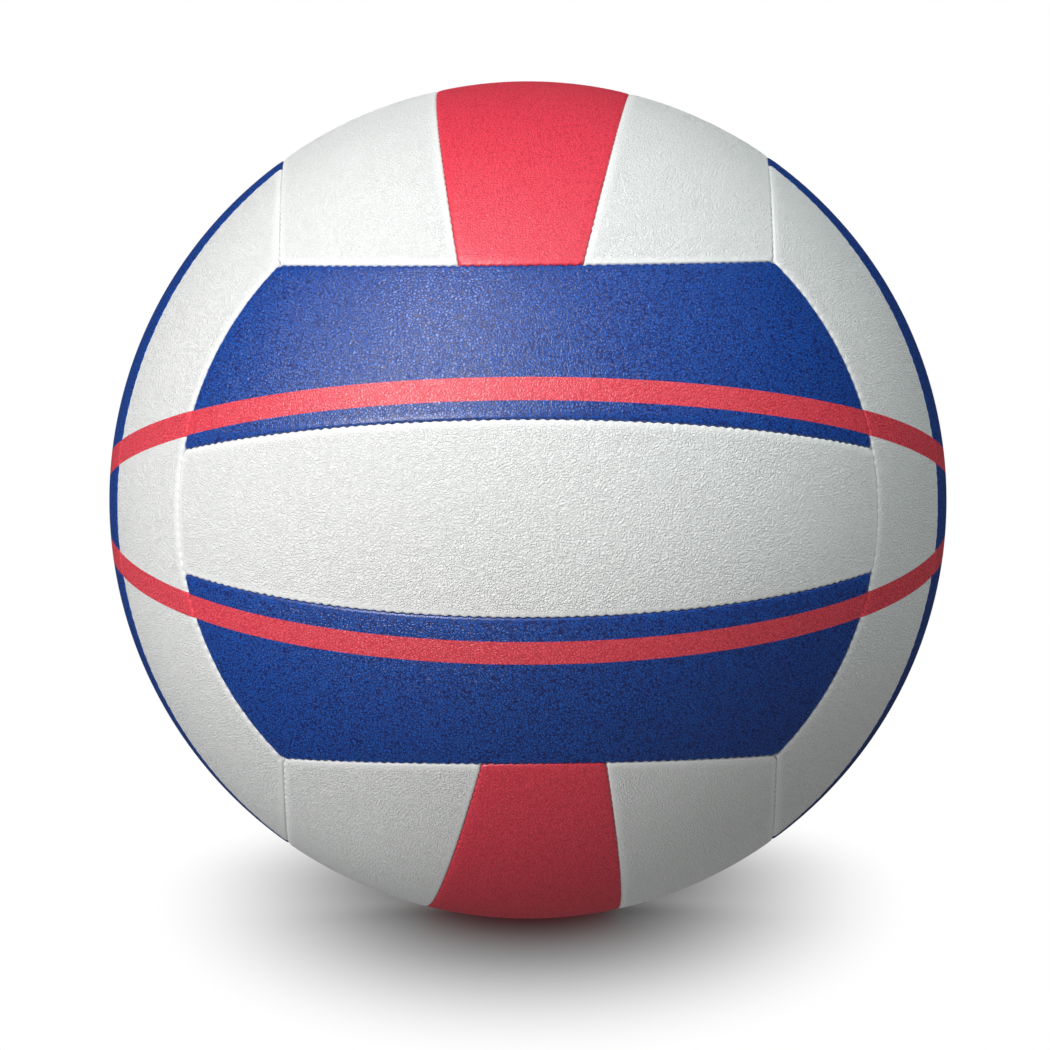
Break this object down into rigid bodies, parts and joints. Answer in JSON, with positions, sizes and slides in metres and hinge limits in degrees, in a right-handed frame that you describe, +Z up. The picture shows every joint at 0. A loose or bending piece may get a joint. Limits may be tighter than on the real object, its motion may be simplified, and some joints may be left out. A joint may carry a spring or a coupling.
{
  "type": "volleyball",
  "caption": "Sewn volleyball of three-strip faces in blue, white and red synthetic leather over foam backings and an air bladder with a needle valve.",
  "frame": {"origin": "centre of the ball", "axes": "+Z up through the middle of the top face's red strip, -Y out of the face with level strips, +Y out of the valve, +X to the right seen from the front"},
  "size_m": [0.212, 0.212, 0.212],
  "materials": {
    "blue_leather": "satin",
    "white_leather": "satin",
    "red_leather": "satin",
    "foam": "matte",
    "butyl": "satin",
    "valve_rubber": "matte",
    "plug_rubber": "matte"
  },
  "bodies": {
    "root": {"front_lower_panel": "blue_leather", "front_centre_panel": "white_leather", "front_upper_panel": "blue_leather", "back_lower_panel": "blue_leather", "back_centre_panel": "white_leather", "back_upper_panel": "blue_leather", "left_front_panel": "white_leather", "left_centre_panel": "blue_leather", "left_rear_panel": "white_leather", "right_rear_panel": "white_leather", "right_centre_panel": "blue_leather", "right_front_panel": "white_leather", "top_right_panel": "white_leather", "top_centre_panel": "red_leather", "top_left_panel": "white_leather", "bottom_left_panel": "white_leather", "bottom_centre_panel": "red_leather", "bottom_right_panel": "white_leather", "front_lower_backing": "foam", "front_centre_backing": "foam", "front_upper_backing": "foam", "back_lower_backing": "foam", "back_centre_backing": "foam", "back_upper_backing": "foam", "left_front_backing": "foam", "left_centre_backing": "foam", "left_rear_backing": "foam", "right_rear_backing": "foam", "right_centre_backing": "foam", "right_front_backing": "foam", "top_right_backing": "foam", "top_centre_backing": "foam", "top_left_backing": "foam", "bottom_left_backing": "foam", "bottom_centre_backing": "foam", "bottom_right_backing": "foam", "bladder": "butyl", "valve_housing": "valve_rubber", "valve_core": "plug_rubber", "valve_patch": "butyl"}
  },
  "joints": []
}
